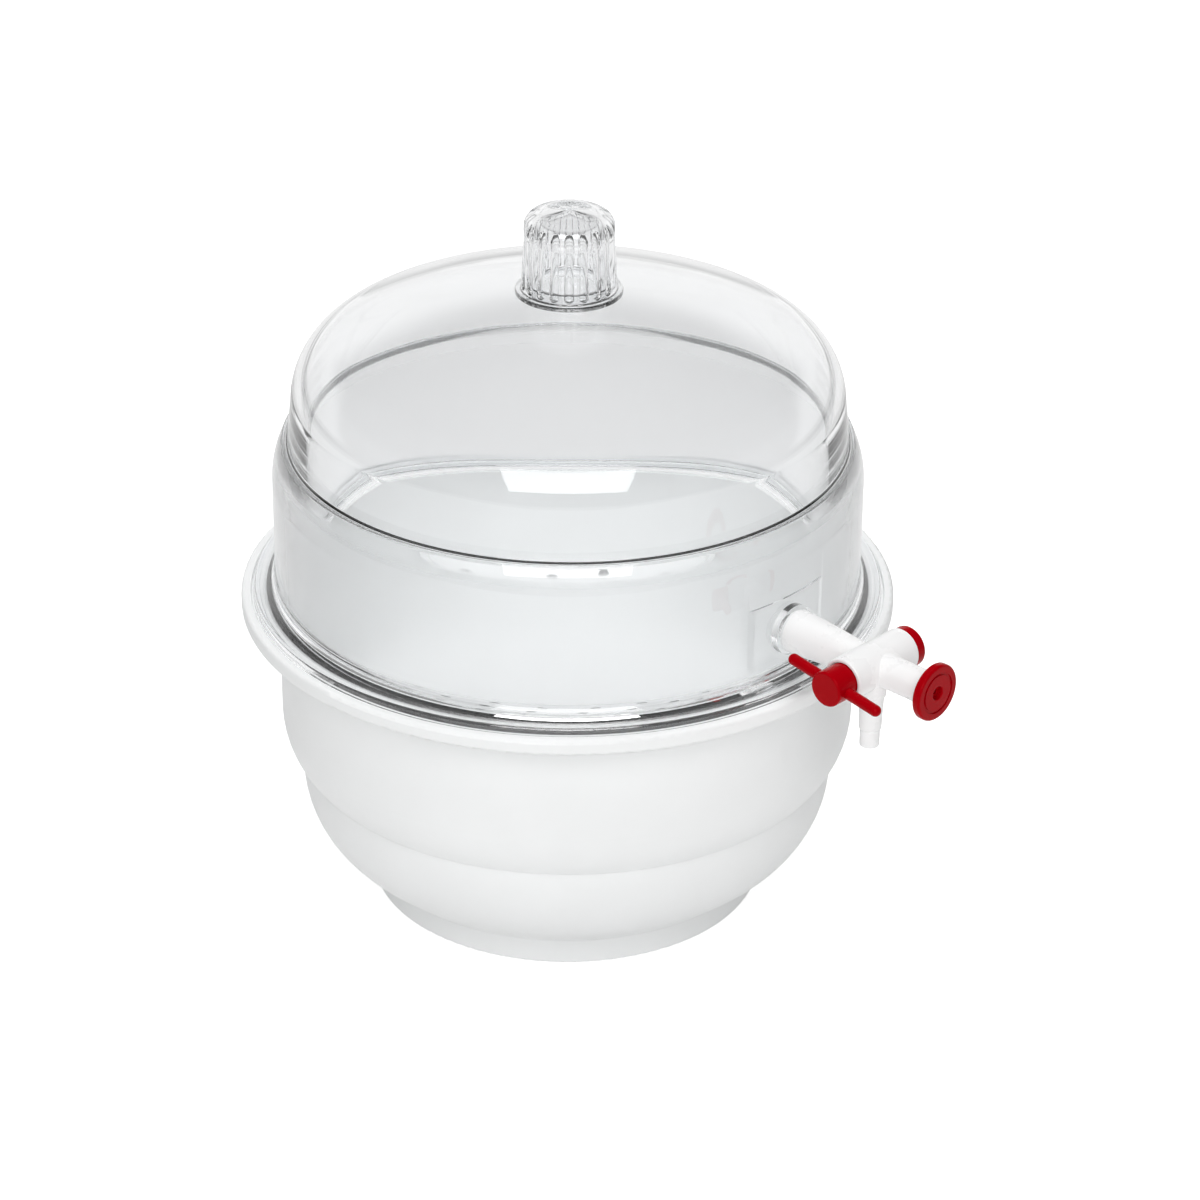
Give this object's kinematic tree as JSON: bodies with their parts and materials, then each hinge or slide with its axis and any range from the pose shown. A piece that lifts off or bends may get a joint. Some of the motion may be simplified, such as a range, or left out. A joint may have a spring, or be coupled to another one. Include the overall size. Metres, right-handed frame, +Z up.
{
  "type": "vacuum desiccator",
  "caption": "Vacuum desiccator: stepped bowl on a foot ring, perforated plate, clear domed lid with a fluted knob, and a three-way stopcock with a T handle in the lid's port.",
  "frame": {"origin": "on the vessel's axis, in the plane the foot ring stands on", "axes": "+Z up along the vessel's axis; +X along the port and the stopcock's flow axis; the barrel lies along Y, its handle towards -Y"},
  "size_m": [0.3576, 0.2908, 0.3261],
  "materials": {
    "white_bowl": "satin moulded polypropylene",
    "white_plate": "satin moulded polypropylene",
    "clear_plastic": "polished clear polycarbonate",
    "seal_rubber": "translucent silicone",
    "white_valve": "smooth moulded plastic",
    "plug_plastic": "waxy white plastic",
    "red_plastic": "glossy moulded red"
  },
  "bodies": {
    "base": {"base_bowl": "white_bowl", "seal_ring": "seal_rubber"},
    "plate": {"desiccator_plate": "white_plate"},
    "lid": {"lid_shell": "clear_plastic", "lid_knob": "clear_plastic", "port_seal": "seal_rubber", "stopcock_body": "white_valve"},
    "plug": {"stopcock_plug": "plug_plastic", "plug_handle": "red_plastic", "thrust_washer": "plug_plastic", "tension_ring": "seal_rubber", "retaining_nut": "red_plastic"},
    "vent": {"vent_bush": "red_plastic"}
  },
  "joints": [
    {"name": "lid_lift", "type": "slide", "parent": "base", "child": "lid", "axis": [0, 0, 1], "range_m": [0, 0.2]},
    {"name": "plate_lift", "type": "slide", "parent": "base", "child": "plate", "axis": [0, 0, 1], "range_m": [0, 0.1]},
    {"name": "plug_turn", "type": "hinge", "parent": "lid", "child": "plug", "pos_m": [0.1771, 0, 0.17082], "axis": [0, 1, 0], "continuous": true},
    {"name": "vent_pull", "type": "slide", "parent": "lid", "child": "vent", "axis": [1, 0, 0], "range_m": [0, 0.02]}
  ]
}
